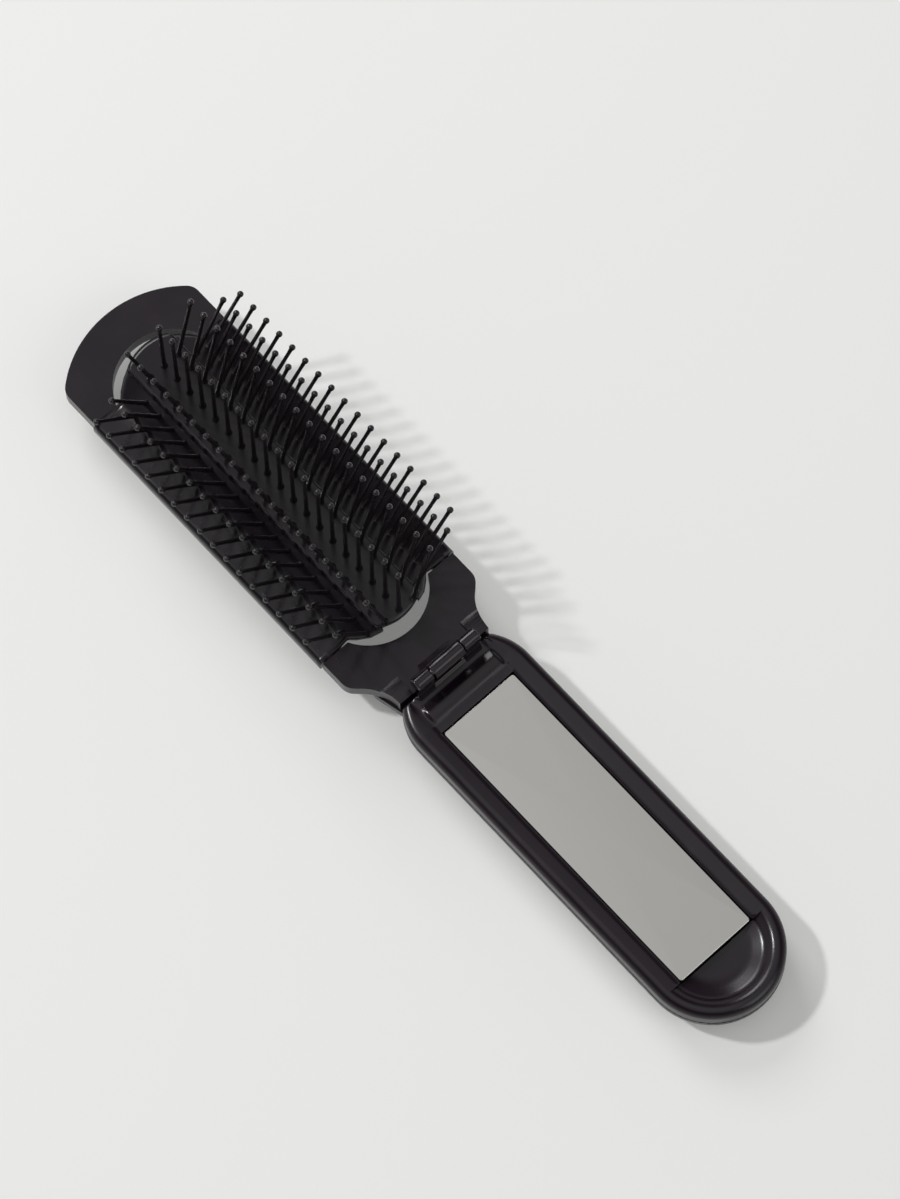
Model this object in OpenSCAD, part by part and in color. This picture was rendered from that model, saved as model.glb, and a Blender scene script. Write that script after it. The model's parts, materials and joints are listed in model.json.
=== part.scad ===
// Folding hairbrush with a mirror in its handle, lying open on its back.
// +X runs from the far end of the head to the free end of the handle,
// +Z points the way the bristles and the mirror face.
// The pieces are drawn with the hinge above x = 0 and the rails at z = 0,
// and seated() then moves them all to the row's origin.

/* [Head] */
// Hinge axis to the far end of the head
head_len = 109; // [106:1:120]
// Width of the head frame
head_w = 37; // [35.5:0.5:40]
// Thickness of the head frame
frame_t = 3.5; // [3:0.1:4.5]
// Radius of the arc across the far end
far_arc_r = 26; // [24:1:40]
// Radius of the corners of the frame
corner_r = 3.5; // [2:0.5:5]
// Half width of the neck where it meets the handle
neck_half_w = 12.6; // [12:0.2:13.5]
// Length of the neck's flare, from its end to the shoulders
flare_len = 9.8; // [8.5:0.1:10.5]
// Half width of the oval opening
opening_half_w = 13; // [12.4:0.1:13.4]
// Hinge axis to the near end of the opening
opening_near = 11.4; // [11:0.1:12.4]
// Hinge axis to the far end of the opening
opening_far = 100; // [98:0.5:101]

/* [Bristle pad] */
// Distance from the centre line to each rail
rail_y = 16.1; // [15.9:0.1:16.4]
// Radius of each round rail
rail_r = 1.6; // [1.4:0.1:1.8]
// Half width of the clips that grip the rails
clip_r = 3; // [2.8:0.1:3.2]
// Height of the clips above the rail axis
clip_top = 2.4; // [2.3:0.1:2.8]
// Hinge axis to the near end of the rails
rail_near = 18.2; // [17.6:0.1:18.6]
// Hinge axis to the far end of the rails
rail_far = 91.5; // [91:0.1:92.5]
// Slope of the side leaves when the pad stands up
leaf_slope = 28; // [26:0.5:28.5]
// Thickness of the side leaves
leaf_t = 1.2; // [1:0.1:1.3]
// Rail axis to the inner edge of a side leaf
leaf_reach = 13.3; // [13.1:0.1:13.4]
// Half width of the crest leaf
crest_half_w = 5; // [4.8:0.1:5.1]
// Thickness of the crest leaf
crest_t = 1.2; // [1.1:0.1:1.5]
// Hinge axis to the near end of the crest leaf
crest_near = 13.1; // [12.9:0.1:13.5]
// Hinge axis to the far end of the crest leaf
crest_far = 96; // [95:0.5:97]

/* [Bristles] */
// Distance between the pins along a row
pin_pitch = 4.15; // [4.1:0.01:4.17]
// Number of pins in each of the three rows on the crest
crest_pins = 19; // [15:1:19]
// Diameter of the ball on the tip of a pin
ball_d = 1.35; // [1.1:0.05:1.4]
// Diameter of a pin at its root
root_d = 1; // [0.85:0.05:1.05]
// Diameter of a pin below its ball
tip_d = 0.8; // [0.6:0.05:0.9]
// Length of the pins of the centre row
centre_pin_len = 21.7; // [18:0.1:22]
// Length of the pins of the two rows beside the centre
flank_pin_len = 22.3; // [18:0.1:22.5]
// Length of the pins of the inner row on each side leaf
inner_pin_len = 18.6; // [16:0.1:19]
// Length of the pins of the outer row on each side leaf
outer_pin_len = 17.4; // [15:0.1:18]

/* [Handle] */
// Hinge axis to the free end of the handle
handle_len = 97.5; // [95:0.5:105]
// Width of the handle
handle_w = 31.2; // [30.8:0.1:34]
// Distance from the handle's top face to its back
handle_t = 10.9; // [10:0.1:13]
// Height of the parting line between the shells, below the top face
parting_drop = 4.4; // [4.2:0.1:5]
// Wall of the shells
wall = 1.6; // [1.4:0.1:1.8]
// Length of the tongue that reaches under the neck
tongue_len = 9.8; // [8:0.1:10.5]
// Half width of the tongue
tongue_half_w = 14.2; // [13:0.1:14.4]

/* [Mirror] */
// Length of the mirror
mirror_len = 73; // [68:0.5:73.5]
// Width of the mirror
mirror_w = 20; // [18:0.1:20.2]
// Thickness of the glass
glass_t = 1.8; // [1.5:0.1:2]
// Thickness of the adhesive pad under the glass
pad_t = 0.5; // [0.3:0.1:0.8]
// Hinge axis to the near end of the mirror
mirror_near = 10.1; // [9.8:0.1:10.6]
// Depth of the glass below the rim
mirror_drop = 0.9; // [0.6:0.1:1.2]

/* [Hinge] */
// Height of the hinge axis above the rails
hinge_z = 7.1; // [7:0.1:8]
// Radius of the knuckles
knuckle_r = 1.9; // [1.8:0.1:2.2]
// Half width of the middle knuckle
knuckle_in = 4.1; // [3.6:0.1:4.4]
// Half width over the outer knuckles
knuckle_out = 8.7; // [8:0.1:9]
// Radius of the hinge pin
pin_r = 0.8; // [0.6:0.05:0.9]

/* [Hidden] */

gap = 0.3;             // between pieces that move past each other
fit = 0.05;            // running clearance of a pin or rail in its bore
press = 0.02;          // interference of the hinge pin in the middle knuckle
seat = 0.15;           // round a piece that is dropped into a recess
knuckle_gap = 0.3;     // between neighbouring knuckles
joint_gap = 0.4;       // each side of the line between neck and handle
plastic = [0.16, 0.145, 0.165];
nylon = [0.1, 0.09, 0.1];
eps = 0.01;

frame_top = frame_t / 2;
handle_top = frame_top;
handle_bottom = handle_top - handle_t;
parting_z = handle_top - parting_drop;
tongue_top = -frame_t / 2 - gap;
half_head = head_w / 2;
half_handle = handle_w / 2;

// Points along an arc from angle a0 to a1
function arc(cx, cy, r, a0, a1, steps) =
    [for (i = [0 : steps]) let (a = a0 + (a1 - a0) * i / steps) [cx + r * cos(a), cy + r * sin(a)]];
// The mirror image of a list of points across the X axis, in reverse order
function mirrored(points) = [for (i = [len(points) - 1 : -1 : 0]) [points[i][0], -points[i][1]]];

module seated() {
    translate([(head_len - handle_len) / 2, 0, -handle_bottom]) children();
}

// A plate of the given outline between two heights
module plate(outline, z0, z1) {
    translate([0, 0, z0]) linear_extrude(z1 - z0) polygon(outline);
}

// A profile in the XZ plane, drawn across the width from y0 to y1
module across(y0, y1) {
    translate([0, y1, 0]) rotate([90, 0, 0]) linear_extrude(y1 - y0) children();
}

module rod_y(r, y0, y1) {
    translate([0, y0, 0]) rotate([-90, 0, 0]) cylinder(r = r, h = y1 - y0, $fn = 64);
}

module rod_x(r, x0, x1) {
    translate([x0, 0, 0]) rotate([0, 90, 0]) cylinder(r = r, h = x1 - x0, $fn = 64);
}

// ---------------------------------------------------------------- head frame

// The flare is an arc that leaves the neck's end square to it and meets the shoulder's corner arc
flare_rise = half_head - neck_half_w;
flare_r = (flare_len * flare_len + flare_rise * flare_rise) / (2 * flare_rise);
flare_end_angle = asin(flare_len / flare_r) * 0.82;
flare_side = concat(
    arc(-joint_gap, neck_half_w + flare_r, flare_r, -90, -90 - flare_end_angle, 14),
    arc(-flare_len - corner_r * 0.7, half_head - corner_r, corner_r, 50, 90, 5));

// The corner arc touches both the side and the arc across the far end
far_centre = -head_len + far_arc_r;
corner_y = half_head - corner_r;
corner_x = far_centre - sqrt(pow(far_arc_r - corner_r, 2) - corner_y * corner_y);
corner_angle = atan2(corner_y, far_centre - corner_x);
far_side = concat(
    arc(corner_x, corner_y, corner_r, 90, 180 - corner_angle, 8),
    arc(far_centre, 0, far_arc_r, 180 - corner_angle, 180, 14));

head_outline = concat(flare_side, far_side, mirrored(concat(flare_side, far_side)));

opening_steps = 32;
opening_outline = concat(
    arc(-opening_near - opening_half_w, 0, opening_half_w, -90, 90, opening_steps),
    arc(-opening_far + opening_half_w, 0, opening_half_w, 90, 270, opening_steps));

// The ears are low rounded pads on both sides of the knuckles
ear_x = -5.4;
ear_r = 9;
ear_rise = 0.9;
module ear() {
    intersection() {
        plate(head_outline, 0, frame_top + ear_rise);
        translate([ear_x / 2, 0, frame_top + ear_rise - ear_r]) rod_y(ear_r, knuckle_out + gap, half_head);
        translate([ear_x, knuckle_out + gap, 0]) cube([-ear_x, half_head, frame_top + ear_rise]);
    }
}

// The arm that carries a knuckle, from its foot on the top face up to the barrel
module arm(foot, y0, y1) {
    across(y0, y1) polygon([
        [-foot, frame_top - eps], [-knuckle_r * 0.95, hinge_z + knuckle_r * 0.31],
        [0, hinge_z], [-joint_gap, hinge_z - knuckle_r * 0.9], [-joint_gap, frame_top - eps]]);
}
head_arm_foot = 4.4;
handle_arm_foot = 2.4;

slot_in = 4.6;         // rail axis to the inner side of the slots in which the clips turn

module head_frame() {
    color(plastic) seated() {
        difference() {
            union() {
                difference() {
                    plate(head_outline, -frame_t / 2, frame_top);
                    plate(opening_outline, -frame_t, frame_t);
                    for (side = [-1, 1])
                        translate([-rail_far, side * rail_y - (side > 0 ? slot_in : half_head), -frame_t])
                            cube([rail_far - rail_near, half_head + slot_in, 2 * frame_t]);
                }
                for (side = [-1, 1])
                    translate([0, side * rail_y, 0]) rod_x(rail_r, -rail_far - 1, -rail_near + 1);
                for (side = [0, 1]) mirror([0, side, 0]) ear();
                arm(head_arm_foot, -knuckle_in, knuckle_in);
                translate([0, 0, hinge_z]) rod_y(knuckle_r, -knuckle_in, knuckle_in);
            }
            translate([0, 0, hinge_z]) rod_y(pin_r - press, -head_w, head_w);
        }
    }
}

// ---------------------------------------------------------------- bristle pad

// A side leaf lies along +Y from its rail axis at the origin, with its bristle face up
leaf_step = 4.8;       // rail axis to where a side leaf grows longer than its clip
leaf_bend = 8.4;       // rail axis to the bend in the ends of a side leaf
near_bend = 2;         // from the crest leaf's near end to the side leaf at the bend and at its edge
near_edge = 0.9;
far_bend = 2.6;        // from the rails' far end to the side leaf at the bend
far_edge = 0.6;        // from the crest leaf's far end to the side leaf at its edge
leaf_near = [[clip_r * 0.8, -rail_near - gap], [leaf_step, -rail_near - gap],
    [leaf_bend, -crest_near - near_bend], [leaf_reach, -crest_near - near_edge]];
leaf_far = [[leaf_reach, -crest_far + far_edge], [leaf_bend, -rail_far - far_bend],
    [leaf_step, -rail_far + gap], [clip_r * 0.8, -rail_far + gap]];
leaf_outline = [for (p = concat(leaf_near, leaf_far)) [p[1], p[0]]];

clip_mouth = 2.5;      // width of the slot through which the clip snaps on its rail
inner_row = 9.6;       // rail axis to the inner row of a side leaf
outer_row = 5.9;       // rail axis to the outer row of a side leaf
flank_row = 4;         // centre line to the rows beside the centre one
groove_w = 1.6;        // groove in a leaf for the backing of a row
groove_depth = 0.5;
inner_lean = 0;        // lean of the inner row from the leaf's normal
outer_lean = 8.3;      // lean of the outer row from the leaf's normal
flank_lean = 13;       // lean of the rows beside the centre one
side_shift = -0.7;     // the rows of the two side leaves pass between each other by this much
pins_shift = 2.55;     // middle of the crest leaf to the middle of its rows
pins_x0 = -(crest_near + crest_far) / 2 + pins_shift - (crest_pins - 1) / 2 * pin_pitch;
side_x0 = pins_x0 + pin_pitch / 2;
inner_pins = crest_pins - 1;
outer_pins = crest_pins - 2;
crest_under = leaf_reach * sin(leaf_slope) + leaf_t / 2 * cos(leaf_slope) + gap;
crest_top = crest_under + crest_t;

module groove(y, top, x0, count) {
    translate([x0 - groove_w, y - groove_w / 2, top - groove_depth])
        cube([(count - 1) * pin_pitch + 2 * groove_w, groove_w, 2 * groove_depth]);
}

module backing(y, top, x0, count) {
    translate([x0 - groove_w, y - groove_w / 2, top - groove_depth])
        cube([(count - 1) * pin_pitch + 2 * groove_w, groove_w, groove_depth]);
}

// One ball-tipped pin standing on the origin
module bristle(length) {
    translate([0, 0, -groove_depth / 2])
        cylinder(d1 = root_d, d2 = tip_d, h = length + groove_depth / 2 - ball_d / 2, $fn = 4);
    translate([0, 0, length - ball_d / 2]) sphere(d = ball_d, $fn = 6);
}

// A row of pins along X with the slice of backing they stand on
module row(y, top, x0, count, lean, length) {
    backing(y, top, x0, count);
    for (i = [0 : count - 1])
        translate([x0 + i * pin_pitch, y, top]) rotate([lean, 0, 0]) bristle(length);
}

// The clip is a strip with a rounded top and a round underside that follows the rail
clip_lower = 2.3 / 2.4 * clip_top; // radius of the underside
clip_crown_r = 4.2;    // radius of the rounded top
clip_side = 0.6;       // depth of the clip's upright sides below the rail axis
module clip() {
    rod_x(clip_lower, -rail_far + gap, -rail_near - gap);
    rotate([-leaf_slope, 0, 0]) intersection() {
        translate([0, 0, clip_top - clip_crown_r]) rod_x(clip_crown_r, -head_len, 0);
        translate([-rail_far + gap + seat, -clip_r, -clip_side])
            cube([rail_far - rail_near - 2 * (gap + seat), 2 * clip_r, 2 * clip_top]);
    }
}

module leaf(shift) {
    difference() {
        union() {
            plate(leaf_outline, -leaf_t / 2, leaf_t / 2);
            clip();
        }
        rod_x(rail_r + fit, -head_len, 0);
        rotate([-leaf_slope, 0, 0])
            translate([-head_len, -clip_mouth / 2, -2 * clip_r]) cube([head_len, clip_mouth, 2 * clip_r]);
        groove(inner_row, leaf_t / 2, side_x0 + shift, inner_pins);
        groove(outer_row, leaf_t / 2, side_x0 + shift, outer_pins);
    }
}

// Places what is drawn on a side leaf: side is -1 for the left leaf and 1 for the right one
module on_side(side) {
    mirror([0, side > 0 ? 1 : 0, 0]) translate([0, -rail_y, 0]) rotate([leaf_slope, 0, 0]) children();
}

module left_leaf() {
    color(plastic) seated() on_side(-1) leaf(-side_shift);
}

module right_leaf() {
    color(plastic) seated() on_side(1) leaf(side_shift);
}

module crest_leaf() {
    color(plastic) seated() difference() {
        translate([-crest_far, -crest_half_w, crest_under])
            cube([crest_far - crest_near, 2 * crest_half_w, crest_t]);
        for (y = [-flank_row, 0, flank_row]) groove(y, crest_top, pins_x0, crest_pins);
    }
}

module outer_bristles(side) {
    color(nylon) seated() on_side(side)
        row(outer_row, leaf_t / 2, side_x0 + side * side_shift, outer_pins, outer_lean, outer_pin_len);
}

module inner_bristles(side) {
    color(nylon) seated() on_side(side)
        row(inner_row, leaf_t / 2, side_x0 + side * side_shift, inner_pins, inner_lean, inner_pin_len);
}

module crest_bristles(side, length) {
    color(nylon) seated()
        row(side * flank_row, crest_top, pins_x0, crest_pins, -side * flank_lean, length);
}

// ---------------------------------------------------------------- handle

shoulder_x = 9;
shoulder_rise = half_handle - neck_half_w - 0.1;
shoulder_run = shoulder_x - joint_gap;
shoulder_r = (shoulder_run * shoulder_run + shoulder_rise * shoulder_rise) / (2 * shoulder_rise);
shoulder_angle = asin(shoulder_run / shoulder_r);

// The handle's outline, drawn in by a given distance
function handle_outline(inset) = concat(
    arc(handle_len - half_handle, 0, half_handle - inset, -90, 90, 32),
    arc(shoulder_x, half_handle - shoulder_r, shoulder_r - inset, 90, 90 + shoulder_angle, 10),
    inset > 0 ? [[joint_gap + inset, half_handle - shoulder_rise - inset * 1.4],
        [joint_gap + inset, -half_handle + shoulder_rise + inset * 1.4]] : [],
    arc(shoulder_x, -half_handle + shoulder_r, shoulder_r - inset, 270 - shoulder_angle, 270, 10));

rim_end_w = 3.9;       // width of the rim round the scoop
recess_half_w = mirror_w / 2 + seat;
recess_far = mirror_near + mirror_len + seat;
scoop_r = half_handle - rim_end_w;
scoop_centre = handle_len - half_handle;
scoop_depth = 2.8;
scoop_lip = 0.7;       // depth of the upright wall round the scoop
bar_x = 5.2;
bar_half = 2;
bar_rise = 0.7;
bar_r = 3.2;
shelf_x = 7.8;
shelf_drop = 0.45;
arm_side = knuckle_in + knuckle_gap;

edge_drop = 1.3;       // height of the rounding round the handle's top edge
edge_inset = 1.5;      // width of that rounding
notch = 1.6;           // depth of the notch in which the middle knuckle's arm swings

module mirror_recess() {
    floor_z = handle_top - mirror_drop - glass_t - pad_t;
    translate([mirror_near - seat, -recess_half_w, floor_z])
        cube([mirror_len + 2 * seat, 2 * recess_half_w, handle_t]);
    translate([shelf_x, -recess_half_w, handle_top - shelf_drop])
        cube([mirror_near - shelf_x, 2 * recess_half_w, handle_t]);
}

// The finger scoop is a shallow bowl between the mirror and the round end of the rim
module finger_scoop() {
    intersection() {
        translate([scoop_centre, 0, handle_top - scoop_depth]) cylinder(r = scoop_r, h = handle_t, $fn = 96);
        translate([recess_far, -handle_w, 0]) cube([handle_w, 2 * handle_w, handle_t]);
        union() {
            translate([scoop_centre, 0, handle_top - scoop_lip]) cylinder(r = scoop_r, h = handle_t, $fn = 96);
            translate([scoop_centre, 0, handle_top - scoop_depth + scoop_bowl_r]) sphere(r = scoop_bowl_r, $fn = 96);
        }
    }
}
scoop_bowl = scoop_depth - scoop_lip;
scoop_bowl_r = (scoop_r * scoop_r + scoop_bowl * scoop_bowl) / (2 * scoop_bowl);

module cross_bar() {
    intersection() {
        translate([bar_x, 0, handle_top + bar_rise - bar_r]) rod_y(bar_r, -recess_half_w - 0.8, recess_half_w + 0.8);
        translate([bar_x - bar_half, -handle_w, parting_z]) cube([2 * bar_half, 2 * handle_w, handle_t]);
    }
}

module handle_front() {
    color(plastic) seated() difference() {
        union() {
            hull() {
                plate(handle_outline(0), parting_z, handle_top - edge_drop);
                plate(handle_outline(edge_inset * 0.35), parting_z, handle_top - edge_drop * 0.35);
                plate(handle_outline(edge_inset), parting_z, handle_top);
            }
            cross_bar();
            for (side = [0, 1]) mirror([0, side, 0]) {
                mirror([1, 0, 0]) arm(handle_arm_foot, arm_side, knuckle_out);
                translate([0, 0, hinge_z]) rod_y(knuckle_r, arm_side, knuckle_out);
            }
        }
        mirror_recess();
        finger_scoop();
        // the middle knuckle and its arm swing in this notch
        translate([-eps, -arm_side, parting_z - eps])
            cube([joint_gap + notch, 2 * arm_side, handle_t]);
        translate([0, 0, hinge_z]) rod_y(pin_r + fit, -handle_w, handle_w);
    }
}

// The back shell is a dish with the tongue at its hinge end
function tongue_outline(inset) = concat(
    arc(-tongue_len + corner_r, tongue_half_w - corner_r, corner_r - inset, 90, 180, 8),
    arc(-tongue_len + corner_r, -tongue_half_w + corner_r, corner_r - inset, 180, 270, 8),
    [[joint_gap + wall + inset, -neck_half_w + inset + 0.3], [joint_gap + wall + inset, neck_half_w - inset - 0.3]]);

// The back narrows below the parting line like the hull of a boat
hull_steps = [[0, 1.2], [1, 3.6], [2.6, 5.7], [4, 6.5]];
// The tongue narrows in the same way: how far it is drawn in, and how deep it is at that width
tongue_steps = [[0, 2], [0.8, 4.4]];
tongue_floor = 2.4;    // how far the tongue's flat underside is drawn in
module hull_back(inset, z0, z1) {
    hull() for (step = hull_steps)
        plate(handle_outline(step[0] + inset), max(z0, parting_z - step[1]), z1);
}

module handle_back() {
    color(plastic) seated() difference() {
        union() {
            hull_back(0, handle_bottom, parting_z);
            hull() {
                for (step = tongue_steps)
                    plate(tongue_outline(step[0]), tongue_top - step[1], tongue_top);
                plate(tongue_outline(tongue_floor), handle_bottom, tongue_top);
            }
        }
        hull_back(wall, handle_bottom + wall, handle_top);
        plate(tongue_outline(tongue_floor + wall / 2), handle_bottom + wall, tongue_top - wall);
        // the tongue is flush with the parting line under the front shell
        translate([joint_gap - eps, -handle_w, parting_z])
            cube([handle_len, 2 * handle_w, handle_t]);
    }
}

module mirror_glass() {
    color([0.8, 0.8, 0.78]) seated()
        translate([mirror_near, -mirror_w / 2, handle_top - mirror_drop - glass_t])
            cube([mirror_len, mirror_w, glass_t]);
}

pad_inset = 1;         // glass's edge to the adhesive pad's
module mirror_pad() {
    color([0.85, 0.85, 0.83]) seated()
        translate([mirror_near + pad_inset, pad_inset - mirror_w / 2, handle_top - mirror_drop - glass_t - pad_t])
            cube([mirror_len - 2 * pad_inset, mirror_w - 2 * pad_inset, pad_t]);
}

pin_inset = 0.4;       // outer knuckle's end to the hinge pin's
module hinge_pin() {
    color([0.75, 0.75, 0.77]) seated()
        translate([0, 0, hinge_z]) rod_y(pin_r, pin_inset - knuckle_out, knuckle_out - pin_inset);
}

head_frame();
left_leaf();
right_leaf();
crest_leaf();
outer_bristles(-1);  // pin_row_1
inner_bristles(-1);  // pin_row_2
crest_bristles(-1, flank_pin_len);  // pin_row_3
crest_bristles(0, centre_pin_len);  // pin_row_4
crest_bristles(1, flank_pin_len);  // pin_row_5
inner_bristles(1);  // pin_row_6
outer_bristles(1);  // pin_row_7
handle_front();
handle_back();
mirror_glass();
mirror_pad();
hinge_pin();
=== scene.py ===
"""Folding hairbrush with a mirror in its handle, lying open on a pale table."""

import json

import bmesh
import bpy
import numpy as np
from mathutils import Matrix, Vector


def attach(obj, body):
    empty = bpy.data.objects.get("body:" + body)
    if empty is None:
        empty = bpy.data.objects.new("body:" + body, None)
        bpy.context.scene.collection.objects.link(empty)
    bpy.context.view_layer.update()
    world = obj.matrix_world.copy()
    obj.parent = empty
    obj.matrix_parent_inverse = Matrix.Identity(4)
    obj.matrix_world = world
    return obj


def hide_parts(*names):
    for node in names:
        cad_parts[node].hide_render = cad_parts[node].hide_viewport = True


bl_info = {
    "name": "Folding hairbrush",
    "version": (1, 0, 0),
    "blender": (4, 5, 0),
    "location": "View3D > Sidebar > Hairbrush",
    "description": "Dresses the solids of a folding hairbrush with its finished surfaces",
    "category": "Add Mesh",
}

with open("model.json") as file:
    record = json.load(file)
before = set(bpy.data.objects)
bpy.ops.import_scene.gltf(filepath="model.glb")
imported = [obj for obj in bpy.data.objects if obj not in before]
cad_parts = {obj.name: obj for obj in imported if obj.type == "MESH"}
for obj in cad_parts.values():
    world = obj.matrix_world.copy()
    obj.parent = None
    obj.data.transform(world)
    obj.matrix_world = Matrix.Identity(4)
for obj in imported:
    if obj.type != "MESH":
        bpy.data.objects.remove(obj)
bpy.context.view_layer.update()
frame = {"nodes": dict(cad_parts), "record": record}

MM = 0.001
HINGE_X = 5.75          # the hinge stands this far along the brush, in mm
RAIL_Z = 9.15           # height of the rails and of the head's mid-plane, in mm
MERGE = 0.002           # points of a mesh that are closer than this are one, in mm
SHARP = 30              # an edge that turns by more than this many degrees can take a broad bevel
BEVELLED = 38           # and by more than this, a narrow one
FOOT_GAP = 0.42         # hinge line to the inner side of a knuckle's arm, in mm
# each knuckle's two ends along Y, in mm
KNUCKLES = {"centre_knuckle": (-4.05, 4.05), "outer_knuckle_l": (-8.7, -4.4), "outer_knuckle_r": (4.4, 8.7)}
# X of the first pin of a crest row, in mm
FIRST_PIN = -89.35
# on each side: row from the outside, distance from the rail and pin length in mm, lean in degrees, number of pins
SIDE_ROWS = ((0, 5.9, 17.2, 8.3, 17), (1, 9.6, 18.6, 0, 18))
# on the crest: number, distance from the centre line and pin length in mm, lean in degrees, number of pins
CREST_ROWS = ((3, -4, 22.25, 13, 19), (4, 0, 21.7, 0, 19), (5, 4, 22.25, -13, 19))
BODY_OF = {node: body for body, nodes in frame["record"]["behaviour"]["bodies"].items() for node in nodes}


# ---------------------------------------------------------------- settings

def size(name, description, default):
    """A length in millimetres that a user may change."""
    return bpy.props.FloatProperty(name=name, description=description + ", in mm", default=default, min=0)


def angle(name, description, degrees):
    """An angle that a user may change."""
    return bpy.props.FloatProperty(name=name, description=description, default=np.radians(degrees), subtype="ANGLE")


def shade(name, description, default):
    """A colour that a user may change."""
    return bpy.props.FloatVectorProperty(name=name, description=description, default=default, subtype="COLOR", size=3)


class HeadSettings(bpy.types.PropertyGroup):
    """Sizes by which the edges of the frame are found and rounded."""

    face: size("Face", "Height of the frame's face above its mid-plane", 1.75)
    opening: size("Opening", "Half width of the opening in the frame", 13.0)
    opening_near: size("Opening near", "Hinge to the middle of the opening's near arc", 24.4)
    opening_far: size("Opening far", "Hinge to the middle of the opening's far arc", 87.0)
    edge: size("Edge", "Rounding of the frame's edges", 0.25)
    outer_edge: size("Outer edge", "Rounding of the edges along the outline", 0.7)
    opening_edge: size("Opening edge", "Rounding of the opening's two arcs", 0.9)


class PadSettings(bpy.types.PropertyGroup):
    """Sizes of the bristle pad's skin."""

    rail_y: size("Rail", "Centre line to each rail", 16.1)
    slope: angle("Slope", "Slope of the side leaves", 28.0)
    leaf_t: size("Leaf thickness", "Thickness of the side leaves", 1.2)
    crest_top: size("Crest", "Height of the crest above the rails", 8.273)
    crest_t: size("Crest thickness", "Thickness of the crest", 1.2)
    crest_edge: size("Crest edge", "Half width of the crest", 6.4)
    crest_round: size("Crest rounding", "Radius of the crest's edges", 0.5)


class HandleSettings(bpy.types.PropertyGroup):
    """Sizes of the handle's front shell."""

    length: size("Length", "Hinge to the free end", 97.5)
    half_width: size("Half width", "Centre line to the side", 15.6)
    top: size("Top", "Height of the rim's crest above the rails", 1.75)
    parting: size("Parting", "Depth of the parting line below the rails", 2.65)
    crest: size("Crest", "Side of the handle to the rim's crest", 2.2)
    shoulder: size("Shoulder", "Hinge to where the handle has its full width", 9.0)
    shoulder_rise: size("Shoulder rise", "How much wider the handle is there than at its joint", 2.9)
    recess: size("Recess", "Half width of the recess for the glass", 10.15)
    recess_end: size("Recess end", "Hinge to the far end of the recess", 83.25)
    scoop: size("Scoop", "Radius of the finger scoop", 11.7)
    bar: size("Bar", "Height of the cross bar above the face", 0.3)
    back_edge: size("Back edge", "Rounding of the back shell's edges", 0.14)
    knuckle: size("Knuckle", "Radius of the hinge knuckles", 1.75)
    hinge: size("Hinge", "Height of the hinge axis above the rails", 7.1)


class PinSettings(bpy.types.PropertyGroup):
    """Sizes of the ball-tipped pins."""

    pitch: size("Pitch", "Distance between the pins of a row", 4.15)
    ball: size("Ball", "Diameter of the ball on a pin's tip", 1.45)
    neck: size("Neck", "Diameter of a pin below its ball", 0.84)
    root: size("Root", "Diameter of a pin near its root", 1.04)


class MirrorSettings(bpy.types.PropertyGroup):
    """Sizes of the glass."""

    near: size("Near end", "Hinge to the near end of the glass", 10.1)
    length: size("Length", "Length of the glass", 73.0)
    width: size("Width", "Width of the glass", 20.0)
    thickness: size("Thickness", "Thickness of the glass", 1.8)
    top: size("Top", "Height of the glass above the rails", 0.85)
    corner: size("Corner", "Radius of the glass's corners", 0.7)


class FinishSettings(bpy.types.PropertyGroup):
    """Colours of the brush."""

    moulding: shade("Moulding", "Colour of the frame and the handle", (0.0085, 0.0038, 0.008))
    pad: shade("Pad", "Colour of the bristle pad", (0.0054, 0.0026, 0.0053))
    pins: shade("Pins", "Colour of the pins", (0.012, 0.0092, 0.0115))
    mirror: shade("Mirror", "Tint of the mirror", (0.62, 0.61, 0.585))
    tape: shade("Tape", "Colour of the adhesive pad", (0.55, 0.55, 0.52))
    steel: shade("Steel", "Tint of the hinge pin", (0.5, 0.5, 0.52))


class StageSettings(bpy.types.PropertyGroup):
    """Camera, floor and lamps."""

    azimuth: angle("Azimuth", "Direction the camera looks in, turned from +Y", 47.664)
    elevation: angle("Elevation", "Angle at which the camera looks down", 70.503)
    distance: bpy.props.FloatProperty(
        name="Distance", description="Camera to the point it looks at", default=1.12143, unit="LENGTH")
    floor: shade("Floor", "Colour of the table", (0.97, 0.97, 0.955))
    ambient: bpy.props.FloatProperty(name="Ambient", description="Strength of the light all round", default=1.0)
    key: bpy.props.FloatProperty(name="Key", description="Power of the key lamp", default=16.0, unit="POWER")
    fill: bpy.props.FloatProperty(name="Fill", description="Power of the left soft box", default=11.5, unit="POWER")


# ---------------------------------------------------------------- surfaces

def to_frame(points):
    """Points in mm from the hinge line and the rails' plane, as metres in the brush's own frame."""
    return (np.asarray(points, float) + (HINGE_X, 0, RAIL_Z)) * MM


def new_object(name, points, faces, material):
    """A smooth mesh object from an array of points in mm and a list of faces."""
    mesh = bpy.data.meshes.new(name)
    mesh.from_pydata(to_frame(points).tolist(), [], faces)
    mesh.validate()
    mesh.polygons.foreach_set("use_smooth", np.full(len(mesh.polygons), True))
    mesh.materials.append(material)
    obj = bpy.data.objects.new(name, mesh)
    bpy.context.collection.objects.link(obj)
    return obj


def merged(obj):
    """obj with the points that lie together made one, without empty faces, and with its normals pointing outwards."""
    bm = bmesh.new()
    bm.from_mesh(obj.data)
    bmesh.ops.remove_doubles(bm, verts=bm.verts, dist=MERGE * MM)
    bmesh.ops.dissolve_degenerate(bm, edges=bm.edges, dist=MERGE * MM)
    bmesh.ops.recalc_face_normals(bm, faces=bm.faces)
    bm.to_mesh(obj.data)
    bm.free()
    obj.modifiers.new("shading", "WEIGHTED_NORMAL")
    return obj


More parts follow.
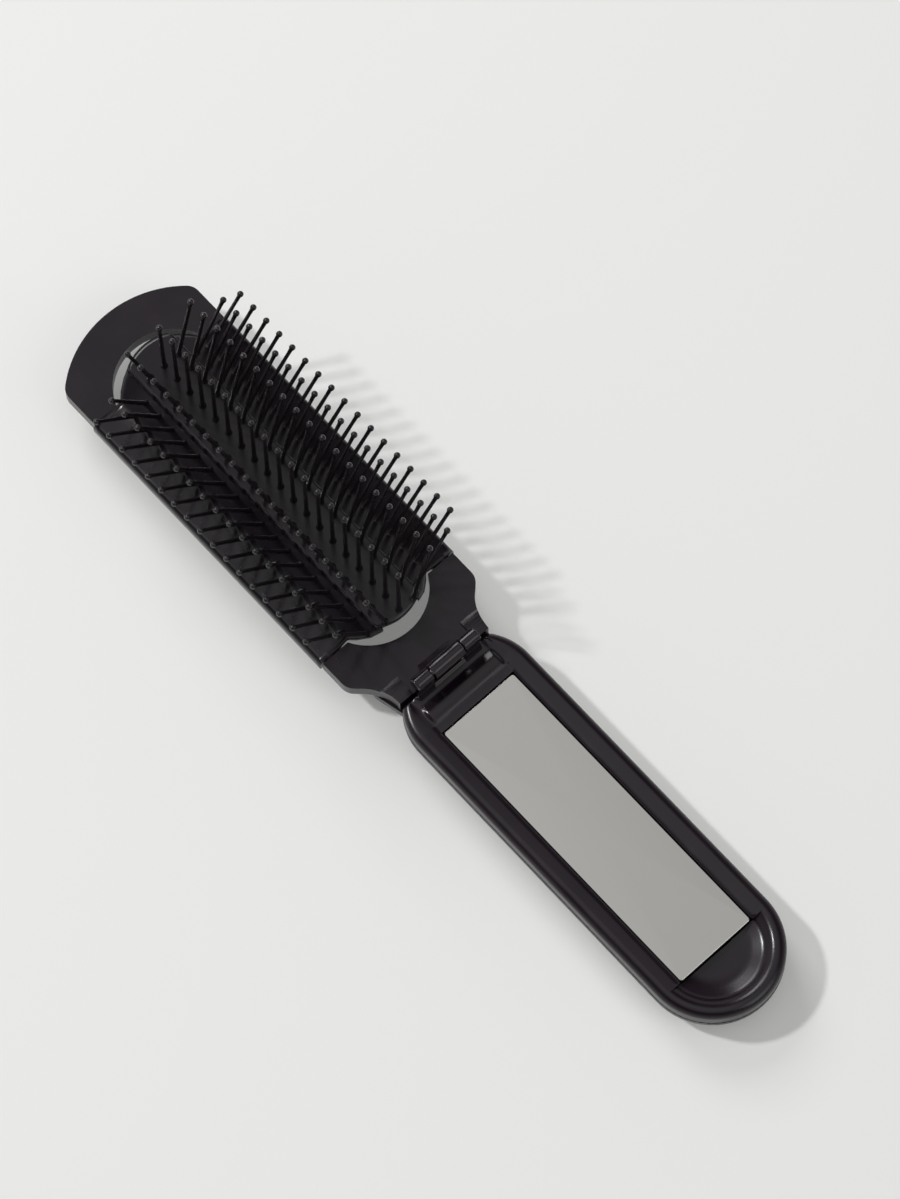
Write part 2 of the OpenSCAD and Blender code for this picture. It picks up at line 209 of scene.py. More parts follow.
def grid_faces(rows, columns, offset=0, wrap=False):
    """Quads of a grid of points stored row after row; wrap joins the last column to the first."""
    i, j = np.meshgrid(np.arange(rows - 1), np.arange(columns if wrap else columns - 1), indexing="ij")
    k = (j + 1) % columns
    quads = np.stack([i * columns + j, i * columns + k, (i + 1) * columns + k, (i + 1) * columns + j], -1)
    return (quads.reshape(-1, 4) + offset).tolist()


def loft(name, rings, material):
    """A closed skin through a stack of closed rings, with a fan to the middle of the first and the last ring.

    rings has the shape (levels, points, 3); neighbouring rings are joined point to point.
    """
    rings = np.asarray(rings, float)
    levels, count = rings.shape[:2]
    points = np.vstack([rings.reshape(-1, 3), rings[0].mean(0), rings[-1].mean(0)])
    faces = grid_faces(levels, count, wrap=True)
    j = np.arange(count)
    k = (j + 1) % count
    first, last = levels * count, levels * count + 1
    faces += np.stack([k, j, np.full(count, first)], -1).tolist()
    top = (levels - 1) * count
    faces += np.stack([top + j, top + k, np.full(count, last)], -1).tolist()
    return new_object(name, points, faces, material)


def strip(name, outer, inner, near, far, columns, material):
    """A moulded strip along the brush: the space between two section curves with the same number of points.

    outer and inner hold (y, z) in mm. A point of a curve runs along X from far(y) to near(y), the ends of the
    strip in plan, so x = far + u * (near - far) for u from 0 to 1.
    """
    loop = np.vstack([inner, outer[::-1]])
    u = np.linspace(0, 1, columns)[:, None]
    x = far(loop[:, 0]) + u * (near(loop[:, 0]) - far(loop[:, 0]))
    points = np.stack([x, np.broadcast_to(loop[:, 0], x.shape), np.broadcast_to(loop[:, 1], x.shape)], -1)
    total, half = len(loop), len(outer)
    faces = grid_faces(columns, total, wrap=True)
    i = np.arange(half - 1)
    cap = np.stack([i, i + 1, total - 2 - i, total - 1 - i], -1)
    faces += cap[:, ::-1].tolist() + (cap + (columns - 1) * total).tolist()
    return new_object(name, points.reshape(-1, 3), faces, material)


def rounded(points, radii, steps=6):
    """A polyline with its inner corners replaced by arcs that touch both sides, as quadratic blends."""
    points = np.asarray(points, float)
    out = [points[0]]
    for i in range(1, len(points) - 1):
        before, here, after = points[i - 1:i + 2]
        a, b = before - here, after - here
        reach = min(radii[i - 1], 0.48 * np.linalg.norm(a), 0.48 * np.linalg.norm(b))
        start, end = here + a / np.linalg.norm(a) * reach, here + b / np.linalg.norm(b) * reach
        t = np.linspace(0, 1, steps)[:, None]
        out.extend((1 - t) ** 2 * start + 2 * t * (1 - t) * here + t ** 2 * end)
    out.append(points[-1])
    return np.array(out)


def resampled(curve, count):
    """The same curve with its points evenly spaced along it."""
    step = np.linalg.norm(np.diff(curve, axis=0), axis=1)
    length = np.concatenate([[0], np.cumsum(step)])
    at = np.linspace(0, length[-1], count)
    return np.stack([np.interp(at, length, curve[:, k]) for k in range(curve.shape[1])], -1)


def rounded_rectangle(x0, x1, half_w, radius, inset, z, steps=8):
    """A rectangle from x0 to x1 with round corners, drawn in by inset, as a ring at height z."""
    r = max(radius - inset, 0.02)
    x0, x1, w = x0 + inset, x1 - inset, half_w - inset
    a = np.linspace(0, np.pi / 2, steps)
    corners = [(x1 - r, w - r, 0), (x0 + r, w - r, 1), (x0 + r, -w + r, 2), (x1 - r, -w + r, 3)]
    ring = [np.stack([cx + r * np.cos(a + q * np.pi / 2), cy + r * np.sin(a + q * np.pi / 2)], -1)
            for cx, cy, q in corners]
    ring = np.vstack(ring)
    return np.column_stack([ring, np.full(len(ring), z)])


def softened(node, width, material, broad=(), broad_width=1.0):
    """The node's own shape with its edges rounded by a narrow bevel, and some of them by a broad one.

    broad holds pairs of a test and a share. The test takes the middles of the sharp edges, in mm from the hinge
    line and the rails' plane, as columns x, y and z; the edges it picks are rounded by their share of broad_width.
    """
    mesh = frame["nodes"][node].data.copy()
    mesh.name = node + "_skin"
    bm = bmesh.new()
    bm.from_mesh(mesh)
    layer = bm.edges.layers.float.new("bevel_weight_edge")
    bmesh.ops.remove_doubles(bm, verts=bm.verts, dist=MERGE * MM)
    bmesh.ops.dissolve_limit(bm, angle_limit=np.radians(0.4), verts=bm.verts, edges=bm.edges)
    sharp = [e for e in bm.edges if len(e.link_faces) == 2 and e.calc_face_angle() > np.radians(SHARP)]
    middle = np.array([(e.verts[0].co + e.verts[1].co) / 2 for e in sharp]) / MM - (HINGE_X, 0, RAIL_Z)
    weight = np.zeros(len(sharp))
    for test, share in broad:
        weight = np.where(test(*middle.T), share, weight)
    for edge, value in zip(sharp, weight):
        edge[layer] = value
    bm.to_mesh(mesh)
    bm.free()
    mesh.polygons.foreach_set("use_smooth", np.full(len(mesh.polygons), True))
    mesh.materials.clear()
    mesh.materials.append(material)
    obj = bpy.data.objects.new(node + "_skin", mesh)
    bpy.context.collection.objects.link(obj)
    if len(broad):
        bevel = obj.modifiers.new("broad edges", "BEVEL")
        bevel.width, bevel.segments, bevel.limit_method = broad_width * MM, 5, "WEIGHT"
    bevel = obj.modifiers.new("edges", "BEVEL")
    bevel.width, bevel.segments, bevel.limit_method = width * MM, 3, "ANGLE"
    bevel.angle_limit = np.radians(BEVELLED)
    obj.modifiers.new("shading", "WEIGHTED_NORMAL")
    place(obj, node)


def place(obj, node):
    """obj stands for that solid and rides on its body."""
    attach(obj, BODY_OF[node])
    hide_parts(node)


# ---------------------------------------------------------------- finishes

def node_material(name):
    """A new material with an empty node tree, the tree and its output."""
    mat = bpy.data.materials.new(name)
    mat.use_nodes = True
    tree = mat.node_tree
    tree.nodes.clear()
    return mat, tree, tree.nodes.new("ShaderNodeOutputMaterial")


def add(tree, kind, **sockets):
    """A new shader node with its sockets set by name; an underscore stands for the space in a name."""
    node = tree.nodes.new("ShaderNode" + kind)
    for name, value in sockets.items():
        node.inputs[name.replace("_", " ")].default_value = value
    return node


def tints(tree, colour, ends, positions=(0, 1)):
    """A ramp between two shades of a colour, each given as a share of it."""
    ramp = add(tree, "ValToRGB")
    for element, share, position in zip(ramp.color_ramp.elements, ends, positions):
        element.position, element.color = position, (*[c * share for c in colour], 1)
    return ramp


def moulded_plastic(name, colour, rough, grain, depth):
    """Moulded plastic: a fine grain in the bump, a slow drift in the roughness and a faint drift in the colour."""
    mat, tree, out = node_material(name)
    link = tree.links.new
    shader = add(tree, "BsdfPrincipled")
    where = add(tree, "TexCoord")
    fine = add(tree, "TexNoise", Scale=grain, Detail=3)
    slow = add(tree, "TexNoise", Scale=90, Detail=2)
    gloss = add(tree, "MapRange", From_Min=0.3, From_Max=0.7, To_Min=rough - 0.04, To_Max=rough + 0.05)
    tint = tints(tree, colour, (0.85, 1.15), (0.3, 0.7))
    bump = add(tree, "Bump", Strength=0.35, Distance=depth * MM)
    link(where.outputs["Object"], fine.inputs["Vector"])
    link(where.outputs["Object"], slow.inputs["Vector"])
    link(slow.outputs["Fac"], gloss.inputs["Value"])
    link(gloss.outputs["Result"], shader.inputs["Roughness"])
    link(slow.outputs["Fac"], tint.inputs["Fac"])
    link(tint.outputs["Color"], shader.inputs["Base Color"])
    link(fine.outputs["Fac"], bump.inputs["Height"])
    link(bump.outputs["Normal"], shader.inputs["Normal"])
    link(shader.outputs[0], out.inputs[0])
    return mat


def mirror_finish(name, colour):
    """Silvered glass: a tinted metal with a painted reflection that makes it a little paler towards the hinge, with a
    faint haze in its roughness.
    """
    mat, tree, out = node_material(name)
    link = tree.links.new
    shader = add(tree, "BsdfPrincipled", Metallic=1)
    where = add(tree, "TexCoord")
    split = add(tree, "SeparateXYZ")
    # painted reflection: the colour is paler at the hinge end of the glass and darker at its far end
    along = add(tree, "MapRange", From_Min=0.015, From_Max=0.09)
    tint = tints(tree, colour, (1.06, 0.9))
    haze = add(tree, "TexNoise", Scale=45, Detail=4)
    rough = add(tree, "MapRange", To_Min=0.05, To_Max=0.11)
    link(where.outputs["Object"], split.inputs[0])
    link(split.outputs["X"], along.inputs["Value"])
    link(along.outputs["Result"], tint.inputs["Fac"])
    link(tint.outputs["Color"], shader.inputs["Base Color"])
    link(where.outputs["Object"], haze.inputs["Vector"])
    link(haze.outputs["Fac"], rough.inputs["Value"])
    link(rough.outputs["Result"], shader.inputs["Roughness"])
    link(shader.outputs[0], out.inputs[0])
    return mat


# the setting of the colour, and for a plastic its roughness, the scale of its grain and the grain's depth in mm
FINISHES = {
    "black moulding": ("moulding", 0.25, 2600, 0.02),
    "polished moulding": ("moulding", 0.19, 2600, 0.015),
    "pad moulding": ("pad", 0.2, 2400, 0.02),
    "pin nylon": ("pins", 0.22, 1800, 0.01),
    "foam tape": ("tape", 0.8, 900, 0.05),
    "silvered glass": ("mirror",),
    "hinge steel": ("steel",),
}


def finish_of(kind):
    """The brush's finish of that kind, made once."""
    if kind not in bpy.data.materials:
        setting, *surface = FINISHES[kind]
        make = moulded_plastic if surface else mirror_finish
        make(kind, getattr(bpy.context.scene.brush_finish, setting), *surface)
    return bpy.data.materials[kind]


# ---------------------------------------------------------------- steps

class DressMouldings(bpy.types.Operator):
    """Rounds the edges of the frame and the back shell, and adds the middle knuckle"""

    bl_idname = "brush.dress_mouldings"
    bl_label = "Frame and back of the handle"

    def execute(self, context):
        head, h = context.scene.brush_head, context.scene.brush_handle
        black = finish_of("black moulding")

        def on_face(z):
            """Whether an edge lies on the frame's upper or lower face."""
            return np.abs(np.abs(z) - head.face) < 0.01

        def reach(x, y):
            """Distance from the line between the middles of the opening's two arcs."""
            return np.hypot(x - np.clip(x, -head.opening_far, -head.opening_near), y)

        def outline(x, y, z):
            """Whether an edge belongs to the outline, from the shoulders to the far end."""
            return on_face(z) & (x < -9.5) & (reach(x, y) > head.opening + 0.5) & ((np.abs(y) > 18) | (x < -92))

        def arcs(x, y, z):
            """Whether an edge belongs to the opening's near or far arc, away from the rails."""
            return on_face(z) & (np.abs(reach(x, y) - head.opening) < 0.15) & ((x < -92) | (x > -18))

        softened("head_frame", head.edge, black, [(outline, head.outer_edge), (arcs, head.opening_edge)])
        softened("handle_back", h.back_edge, black)
        place(knuckle("centre_knuckle", -1, 3.6, h.knuckle + 0.17, h), "head_frame")
        return {"FINISHED"}


class DressHidden(bpy.types.Operator):
    """Gives the hinge pin and the adhesive pad their finish"""

    bl_idname = "brush.dress_hidden"
    bl_label = "Hinge pin and adhesive pad"

    def execute(self, context):
        for node, kind in (("hinge_pin", "hinge steel"), ("mirror_pad", "foam tape")):
            mesh = frame["nodes"][node].data
            mesh.materials.clear()
            mesh.materials.append(finish_of(kind))
        return {"FINISHED"}


def knuckle(name, side, foot, radius, h):
    """A hinge knuckle with its arm: a closed outline in X and Z, carried along Y, drawn in at both ends.

    The outline runs round the barrel and down a concave curve to the arm's foot, which reaches foot mm from the
    hinge line; side is 1 for an arm on the +X side.
    """
    y0, y1 = KNUCKLES[name]
    a = np.radians(np.linspace(-76, -340, 40))
    barrel = np.column_stack([radius * np.cos(a), h.hinge + radius * np.sin(a)])
    arm = rounded([barrel[-1], (foot * 0.8, h.top + 1.6), (foot + 0.5, h.top + 0.05), (foot + 0.5, h.top - 0.2)],
                  [2.2, 0.1], 8)
    outline = np.vstack([barrel, arm[1:], [(FOOT_GAP, h.top - 0.2), (FOOT_GAP, h.top + 1.5)]]) * (side, 1)
    middle = np.array([side * radius * 0.3, h.hinge - 2])
    reach = np.linalg.norm(outline - middle, axis=1, keepdims=True)
    ends = ((0, 0.35), (0.06, 0.15), (0.2, 0.03), (0.35, 0))    # distance from an end, and how far it draws in
    rings = []
    for y, inset in [(y0 + d, inset) for d, inset in ends] + [(y1 - d, inset) for d, inset in ends[::-1]]:
        ring = middle + (outline - middle) * (1 - inset / reach)
        rings.append(np.column_stack([ring[:, 0], np.full(len(ring), y), ring[:, 1]]))
    return merged(loft(name, rings, finish_of("polished moulding")))


class BuildHandleFront(bpy.types.Operator):
    """Makes the front shell: crowned rim, recess for the glass, finger scoop, cross bar and outer knuckles"""

    bl_idname = "brush.build_handle_front"
    bl_label = "Front of the handle"

    def execute(self, context):
        h = context.scene.brush_handle
        place(merged(self.shell(h)), "handle_front")
        for name in ("outer_knuckle_l", "outer_knuckle_r"):
            place(knuckle(name, 1, 1.5, h.knuckle, h), "handle_front")
        return {"FINISHED"}

    def across(self, h, x):
        """Height of the face between the hinge and the glass.

        It dips a little behind the lip, rises over the bar as a smooth step and falls to the shelf as a parabola.
        """
        dip_at, bar_at, fall_at = 1.2, 2.8, 5.2
        dip = 0.2 * np.clip((x - dip_at) / 1.6, 0, 1)
        t = np.clip((x - bar_at) / 2.4, 0, 1)
        rise = t * t * (3 - 2 * t)
        fall = np.clip((x - fall_at) / 2.6, 0, 1) ** 2
        return h.top - 0.02 - dip + (h.bar + 0.22) * rise - (h.bar + 0.35) * fall

    def section(self, h, inner, outer, floor, kind, dip=0.0, lip=0.0):
        """Heights over the distance from the spine, as a polyline with rounded corners.

        All kinds have the same number of points: three on the floor, two on the wall, the rim's inner edge and its
        crest. A quarter ellipse over the outer edge and the side down to the parting line follow. lip lifts the
        face near the spine, and dip lowers the rim.
        """
        top = h.top - dip
        if kind == "scoop":
            line = [(0, floor), (0.05, floor), (0.1, floor), (inner - 4.4, floor + 0.1), (inner - 0.9, floor + 1.15),
                    (inner + 0.1, top - 0.75), (inner + 0.9, top - 0.2)]
            radii = [0.01, 0.01, 1.4, 1.0, 0.7, 0.6]
        elif kind == "recess":
            line = [(0, floor), (6.0, floor), (6.2, floor), (inner - 0.1, floor), (inner - 0.05, floor + 0.02),
                    (inner, top - 0.6), (inner + 0.9, top - 0.22)]
            radii = [0.01, 0.01, 0.02, 0.01, 0.35, 0.9]
        else:
            line = [(0, floor + lip), (6.0, floor + lip), (6.2, floor), (inner - 1.6, floor),
                    (inner - 0.6, floor + 0.01), (inner + 0.1, min(floor, top - 0.3)), (inner + 0.9, top - 0.22)]
            radii = [0.1, 0.1, 0.3, 0.5, 0.7, 0.9]
        line.append((outer - h.crest, top))
        drop, groove = 1.6, 0.22    # height of the quarter ellipse, and depth of the groove at the parting line
        a = np.linspace(0, np.pi / 2, 12)[1:]
        edge = np.column_stack([outer - h.crest + (h.crest - 0.08) * np.sin(a), top - drop * (1 - np.cos(a))])
        side = [(outer - 0.06, -1.6), (outer - 0.06, 0.1 - h.parting), (outer - groove, -h.parting)]
        return np.vstack([rounded(line, radii, 6), edge, side])

    def half_width(self, h, x):
        """Half width of the outline: an arc at the shoulder, straight, and a half circle at the end.

        The arc's radius is that of the circle whose chord has the run and the rise of the shoulder.
        """
        start = 0.4     # hinge to where the arc begins
        rise, run = h.shoulder_rise, h.shoulder - start
        r = (run ** 2 + rise ** 2) / (2 * rise)
        if x < h.shoulder:
            return h.half_width - r + np.sqrt(r ** 2 - (h.shoulder - x) ** 2)
        return np.sqrt(h.half_width ** 2 - max(0, x - h.length + h.half_width) ** 2)

    def straight_rays(self, h, floor):
        """The sections from the hinge to the recess's end, as pairs of X and a section.

        The joint's edge dips in a small round, and the lip behind it is a bell of the fourth power.
        """
        rays = []
        near = [(0, 0.45), (0.012, 0.2), (0.035, 0.06), (0.07, 0)] + [(t, 0) for t in np.linspace(0.12, 0.96, 30)]
        for t, dip in near + [(0.985, 0), (0.997, 0)]:
            x = 0.25 + 7.55 * t
            lip = 0.4 * np.exp(-((x - 0.95) / 0.42) ** 4)
            height = self.across(h, x) - dip
            rays.append((x, self.section(h, h.recess, self.half_width(h, x), height, "face", dip, lip)))
        shelf = [(7.82, h.top - 0.45, "face"), (8.2, h.top - 0.46, "face"), (9.7, h.top - 0.46, "face"),
                 (9.86, h.top - 0.5, "face"), (9.93, h.top - 0.7, "recess")]
        deep = [9.96, *np.linspace(12, h.length - h.half_width, 24), 82.6, h.recess_end]
        for x, z, kind in shelf + [(x, floor, "recess") for x in deep]:
            rays.append((x, self.section(h, h.recess, self.half_width(h, x), z, kind)))
        return rays

    def shell(self, h):
        """A height over rays that run from the spine to the outline, with a flat underside.

        The rays stand square to the spine as far as the recess's end, and turn about that point from there on.
        A turned ray's length to a circle is sqrt(r squared - (shift sin turn) squared) - shift cos turn.
        """
        recess_floor, scoop_floor = h.top - 3.2, h.top - 2.8
        one_side = np.array([np.column_stack([np.full(len(line), x), line])
                             for x, line in self.straight_rays(h, recess_floor)])
        pivot = h.recess_end + 0.02
        shift = pivot - (h.length - h.half_width)
        turned = []
        for turn in np.radians([90, 89.95, *np.linspace(88.5, -88.5, 73), -89.95, -90]):
            cos, sin = np.cos(turn), np.sin(turn)
            inner, outer = [np.sqrt(r ** 2 - (shift * sin) ** 2) - shift * cos for r in (h.scoop, h.half_width)]
            line = self.section(h, inner, outer, scoop_floor, "scoop")
            turned.append(np.column_stack([pivot + line[:, 0] * cos, line[:, 0] * sin, line[:, 1]]))
        top = np.concatenate([one_side, turned, one_side[::-1] * (1, -1, 1)])
        rows, columns = top.shape[:2]
        under = top * (1, 1, 0) + (0, 0, -h.parting)
        faces = grid_faces(rows, columns) + np.array(grid_faces(rows, columns, rows * columns))[:, ::-1].tolist()
        i, count = np.arange(columns - 1), rows * columns
        for row in (0, rows - 1):
            a, b = row * columns + i, row * columns + i + 1
            quad = np.stack([a, b, b + count, a + count], -1)
            faces += (quad if row else quad[:, ::-1]).tolist()
        points = np.vstack([top.reshape(-1, 3), under.reshape(-1, 3)])
        return new_object("handle_front_skin", points, faces, finish_of("black moulding"))


class BuildSideLeaves(bpy.types.Operator):
    """Makes the two sloping sides of the bristle pad with the clips on their rails"""

    bl_idname = "brush.build_side_leaves"
    bl_label = "Sides of the pad"

    def execute(self, context):
        p = context.scene.brush_pad
        y0, tan, half = p.rail_y, np.tan(p.slope), p.leaf_t / 2 / np.cos(p.slope)
        tip = 5.0               # centre line to the inner edge of a side
        clip = 1.65             # radius of the clip's bore
        lip = np.radians(41)    # how far the clip reaches round the rail below its middle
        bore = np.linspace(-lip, np.pi + lip, 40)
        bore = np.stack([y0 + clip * np.cos(bore), clip * np.sin(bore)], -1)
        # the clip's back, then the leaf: a straight line at the slope, half a thickness over the line to the rail
        top = rounded([
            (y0 + 1.3, -1.55), (y0 + 1.9, -2.0), (y0 + 3.0, -1.4), (y0 + 3.0, 1.6), (y0 - 2.4, 2.55),
            (y0 - 4.4, 4.4 * tan + half), (tip, (y0 - tip) * tan + half)], [0.4, 0.8, 1.3, 1.5, 1.5])
        # the bore and the clip's inner lip, then the leaf half a thickness under that line
        under = np.vstack([bore, rounded([
            (y0 - 1.35, -1.5), (y0 - 1.9, -1.9), (y0 - 2.5, -1.2), (y0 - 3.1, 3.1 * tan - half),
            (tip, (y0 - tip) * tan - half)], [0.3, 0.6, 0.8])])
        outer, inner = resampled(top, 90), resampled(under, 90)
        # distance in from the rail, and X of the near and the far end there
        reach, near_x, far_x = np.transpose([
            (-3.2, -18.5, -91.2), (4.6, -18.5, -91.2), (5.0, -18.4, -91.35), (6.2, -17.0, -92.6), (8.4, -15.1, -94.1),
            (10.5, -14.2, -95.0), (11.2, -14.0, -95.3)])

        def near(y):
            """X of the near end, as straight lines between the listed places."""
            return np.interp(y0 - np.abs(y), reach, near_x)

        def far(y):
            """X of the far end, found in the same way."""
            return np.interp(y0 - np.abs(y), reach, far_x)

        for side, node in ((-1, "left_leaf"), (1, "right_leaf")):
            a, b = [curve[::-side] * (side, 1) for curve in (outer, inner)]
            place(strip(node + "_skin", a, b, near, far, 60, finish_of("pad moulding")), node)
        return {"FINISHED"}


class BuildCrest(bpy.types.Operator):
    """Makes the crest of the bristle pad with its rounded edges"""

    bl_idname = "brush.build_crest"
    bl_label = "Crest of the pad"

    def execute(self, context):
        p = context.scene.brush_pad
        edge, low = p.crest_edge, p.crest_top - p.crest_t
        near_arc, far_arc = (-24.4, 11.3), (-84.0, 12.0)     # X of an end's middle, and its radius

        def leaf(y):
            """Height of a side's upper face."""
            return (p.rail_y - y) * np.tan(p.slope) + p.leaf_t / 2 / np.cos(p.slope)

        def both(half):
            """A curve over both sides of the centre line from its half on the +Y side."""
            return np.vstack([half[:0:-1] * (-1, 1), half])

        def near(y):
            """X of the near end, an arc that bulges towards the hinge."""
            return near_arc[0] + np.sqrt(near_arc[1] ** 2 - y ** 2)

        def far(y):
            """X of the far end, an arc that bulges away from the hinge."""
            return far_arc[0] - np.sqrt(far_arc[1] ** 2 - y ** 2)

        top = rounded([(0, p.crest_top), (edge - 0.25, p.crest_top - 0.05), (edge, leaf(edge) + 0.12)],
                      [p.crest_round], 8)
        under = np.array([(0, low), (4.4, low), (edge - 0.15, leaf(edge) + 0.1)])
        outer, inner = both(resampled(top, 50)), both(resampled(under, 50))
        place(strip("crest_leaf_skin", outer, inner, near, far, 80, finish_of("pad moulding")), "crest_leaf")
        return {"FINISHED"}


def pin_row(name, base, lean, length, x0, count, p):
    """Pins along X: a turned profile of radius over height, leaned about X and repeated at the pitch.

    The radius flares at the root, tapers to the neck, and follows a circle over the ball.
    """
    rb, rn, rr, sides = p.ball / 2, p.neck / 2, p.root / 2, 12
    centre = length - rb
    a = np.linspace(np.pi - np.arcsin(rn / rb * 1.15), 0, 8)
    root = ((-0.35, rr * 1.75), (0.0, rr * 1.6), (0.25, rr * 1.18), (0.7, rr), (centre - 3 * rb, rn))
    height, radius = np.vstack([root, np.column_stack([centre + rb * np.cos(a), rb * np.sin(a)])]).T
    height[-1], radius[-1] = length, 0.02
    turn = np.linspace(0, 2 * np.pi, sides, endpoint=False)
    x, across = radius[:, None] * np.cos(turn), radius[:, None] * np.sin(turn)
    y = across * np.cos(lean) - height[:, None] * np.sin(lean)
    z = across * np.sin(lean) + height[:, None] * np.cos(lean)
    one = np.stack([x, y + base[0], z + base[1]], -1).reshape(-1, 3)
    shift = (x0 + p.pitch * np.arange(count))[:, None] * (1, 0, 0)
    points = (one[None] + shift[:, None]).reshape(-1, 3)
    first = np.arange(count)[:, None] * len(one)
    sheath = (np.array(grid_faces(len(height), sides, wrap=True))[None] + first[:, None]).reshape(-1, 4)
    tips = len(one) - sides + np.arange(sides) + first
    roots = np.arange(sides)[::-1] + first
    return new_object(name, points, sheath.tolist() + tips.tolist() + roots.tolist(), finish_of("pin nylon"))


class BuildPins(bpy.types.Operator):
    """Makes the seven rows of ball-tipped pins"""

    bl_idname = "brush.build_pins"
    bl_label = "Pins"

    def execute(self, context):
        p, pad = context.scene.brush_pins, context.scene.brush_pad
        half, stagger = pad.leaf_t / 2, 0.7     # the rows of the two sides are shifted apart along X
        for side in (-1, 1):
            x0 = FIRST_PIN + p.pitch / 2 - side * stagger
            for row, reach, length, lean, count in SIDE_ROWS:
                y = reach * np.cos(pad.slope) - half * np.sin(pad.slope) - pad.rail_y
                z = reach * np.sin(pad.slope) + half * np.cos(pad.slope)
                number = row + 1 if side < 0 else 7 - row
                self.row(number, (-side * y, z), -side * (pad.slope + np.radians(lean)), length, x0, count, p)
        for number, y, length, lean, count in CREST_ROWS:
            self.row(number, (y, pad.crest_top), np.radians(lean), length, FIRST_PIN, count, p)
        return {"FINISHED"}

    def row(self, number, *shape):
        """Makes a row and puts it in place of the solid with the same number."""
        place(pin_row("pins_%d" % number, *shape), "pin_row_%d" % number)


class BuildMirror(bpy.types.Operator):
    """Makes the glass with its ground edge"""

    bl_idname = "brush.build_mirror"
    bl_label = "Mirror"

    def execute(self, context):
        m = context.scene.brush_mirror
        x0, x1, w = m.near, m.near + m.length, m.width / 2
        low = m.top - m.thickness
        # how far the edge is ground in, and the height there
        levels = [(0.2, low), (0, low + 0.2), (0, m.top - 0.25), (0.06, m.top - 0.1), (0.25, m.top)]
        rings = [rounded_rectangle(x0, x1, w, m.corner, inset, z) for inset, z in levels]
        obj = loft("mirror_skin", rings, finish_of("silvered glass"))
        obj.modifiers.new("shading", "WEIGHTED_NORMAL")
        place(obj, "mirror_glass")
        return {"FINISHED"}


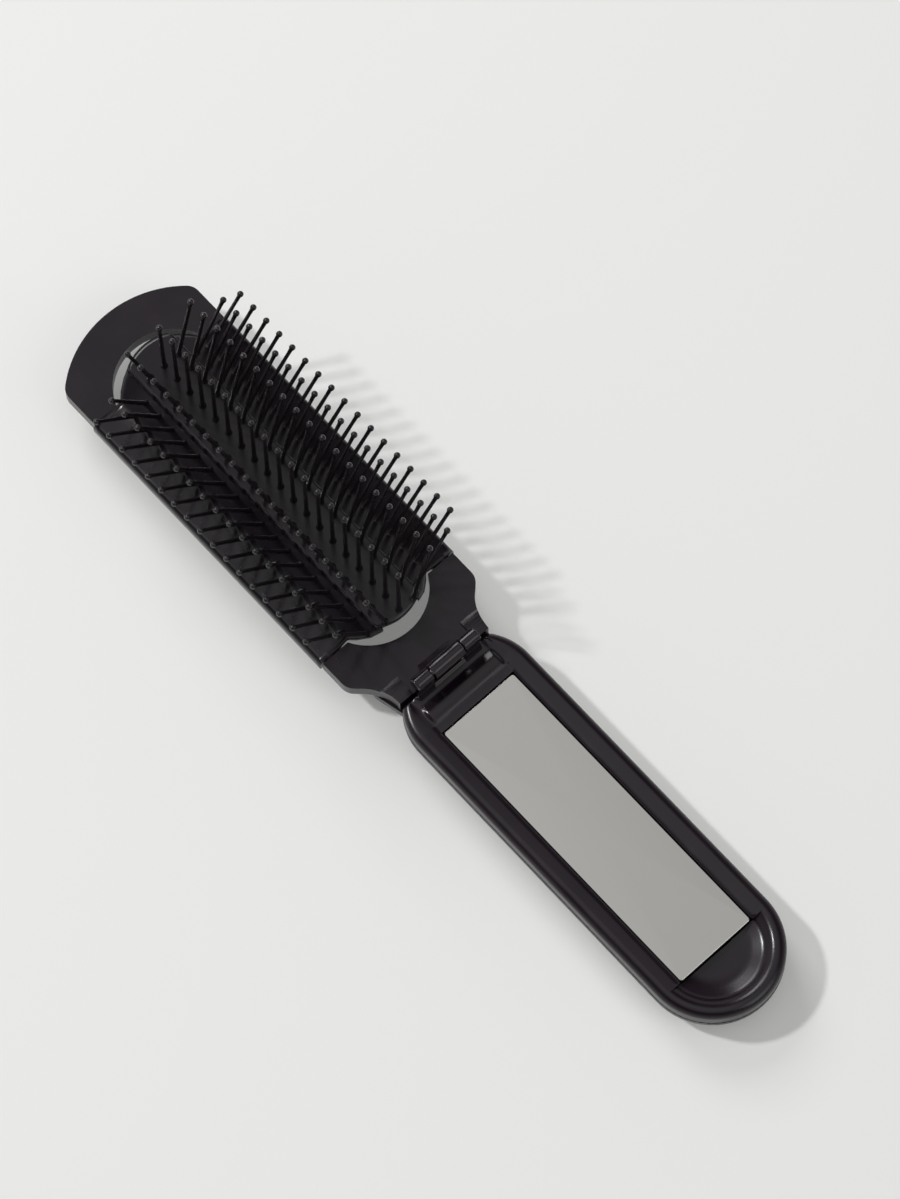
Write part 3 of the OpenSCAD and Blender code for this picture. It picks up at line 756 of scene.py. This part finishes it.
class BuildStage(bpy.types.Operator):
    """Makes the table, the lamps and the camera"""

    bl_idname = "brush.build_stage"
    bl_label = "Build the stage"

    def execute(self, context):
        s = context.scene.brush_stage
        self.table(context, tuple(s.floor))
        self.camera(context, s)
        self.lights(context, s)
        context.scene.view_settings.view_transform = "Standard"
        return {"FINISHED"}

    def table(self, context, colour):
        """A wide flat table. The camera sees part of its colour as plain light, so that shadows stay pale."""
        half, glow = 6, 0.16    # half side of the table in m, and the share of plain light
        mesh = bpy.data.meshes.new("table")
        corners = [(-half, -half, 0), (half, -half, 0), (half, half, 0), (-half, half, 0)]
        mesh.from_pydata(corners, [], [(0, 1, 2, 3)])
        mat, tree, out = node_material("table")
        link = tree.links.new
        matt = add(tree, "BsdfDiffuse", Color=(*colour, 1))
        plain = add(tree, "Emission", Color=(*colour, 1), Strength=1)
        path = add(tree, "LightPath")
        seen = add(tree, "Math")
        seen.operation = "MAXIMUM"
        link(path.outputs["Is Camera Ray"], seen.inputs[0])
        link(path.outputs["Is Glossy Ray"], seen.inputs[1])
        share = add(tree, "Math")
        share.operation = "MULTIPLY"
        share.inputs[1].default_value = glow
        mix = add(tree, "MixShader")
        link(seen.outputs[0], share.inputs[0])
        link(share.outputs[0], mix.inputs[0])
        link(matt.outputs[0], mix.inputs[1])
        link(plain.outputs[0], mix.inputs[2])
        link(mix.outputs[0], out.inputs[0])
        mesh.materials.append(mat)
        table = bpy.data.objects.new("table", mesh)
        context.collection.objects.link(table)

    def camera(self, context, s):
        """A long lens looking down on the brush from over the left side of its head."""
        data = bpy.data.cameras.new("camera")
        data.sensor_fit = "VERTICAL"
        data.sensor_height = 24
        data.lens = 105.86
        data.clip_end = 20
        cam = bpy.data.objects.new("camera", data)
        context.collection.objects.link(cam)
        az, el = s.azimuth, s.elevation
        look = Vector((-np.sin(az) * np.cos(el), np.cos(az) * np.cos(el), -np.sin(el)))
        aim = Vector((-0.00545, 0.01141, RAIL_Z * MM))
        cam.location = aim - look * s.distance
        cam.rotation_euler = look.to_track_quat("-Z", "Y").to_euler()
        context.scene.camera = cam

    def lights(self, context, s):
        """A studio with dim walls and a wide soft box overhead, a small key lamp and a soft box on either side."""
        world = bpy.data.worlds.new("studio")
        context.scene.world = world
        world.use_nodes = True
        tree = world.node_tree
        sky = tree.nodes["Background"]
        sky.inputs["Strength"].default_value = s.ambient
        where, split, ramp = add(tree, "TexCoord"), add(tree, "SeparateXYZ"), add(tree, "ValToRGB")
        # brightness of the studio over the height of the direction
        stops = ((0, 0.5), (0.35, 0.35), (0.6, 0.06), (0.8, 0.05), (0.9, 0.45), (1, 0.74))
        while len(ramp.color_ramp.elements) < len(stops):
            ramp.color_ramp.elements.new(0.5)
        for element, (height, level) in zip(ramp.color_ramp.elements, stops):
            element.position, element.color = height, (level, level, level, 1)
        tree.links.new(where.outputs["Generated"], split.inputs[0])
        tree.links.new(split.outputs["Z"], ramp.inputs[0])
        tree.links.new(ramp.outputs[0], sky.inputs["Color"])
        # each lamp's name, place, side and power
        for name, spot, width, power in (("key", (-1.1, -0.73, 1.5), 0.14, s.key),
                                         ("left soft box", (-1.6, 0.35, 1.22), 0.85, s.fill),
                                         ("right soft box", (1.35, 0.42, 1.35), 0.95, 0.36 * s.fill)):
            data = bpy.data.lights.new(name, "AREA")
            data.size = width
            data.energy = power
            lamp = bpy.data.objects.new(name, data)
            lamp.location = spot
            lamp.rotation_euler = (-Vector(spot)).to_track_quat("-Z", "Y").to_euler()
            context.collection.objects.link(lamp)


class BrushPanel(bpy.types.Panel):
    """Lists the steps that dress the brush"""

    bl_idname = "VIEW3D_PT_hairbrush"
    bl_label = "Hairbrush"
    bl_space_type = "VIEW_3D"
    bl_region_type = "UI"
    bl_category = "Hairbrush"

    def draw(self, context):
        for step in STEPS:
            self.layout.operator(step.bl_idname)


STEPS = (DressMouldings, DressHidden, BuildHandleFront, BuildSideLeaves, BuildCrest, BuildPins, BuildMirror, BuildStage)
SETTINGS = {"brush_head": HeadSettings, "brush_pad": PadSettings, "brush_handle": HandleSettings,
            "brush_pins": PinSettings, "brush_mirror": MirrorSettings, "brush_finish": FinishSettings,
            "brush_stage": StageSettings}
CLASSES = (*SETTINGS.values(), *STEPS, BrushPanel)


def register():
    for cls in CLASSES:
        bpy.utils.register_class(cls)
    for name, group in SETTINGS.items():
        setattr(bpy.types.Scene, name, bpy.props.PointerProperty(type=group))


def unregister():
    for name in SETTINGS:
        delattr(bpy.types.Scene, name)
    for cls in reversed(CLASSES):
        bpy.utils.unregister_class(cls)


def main():
    register()
    for step in STEPS:
        getattr(bpy.ops.brush, step.bl_idname.split(".")[1])()


if __name__ == "__main__":
    main()
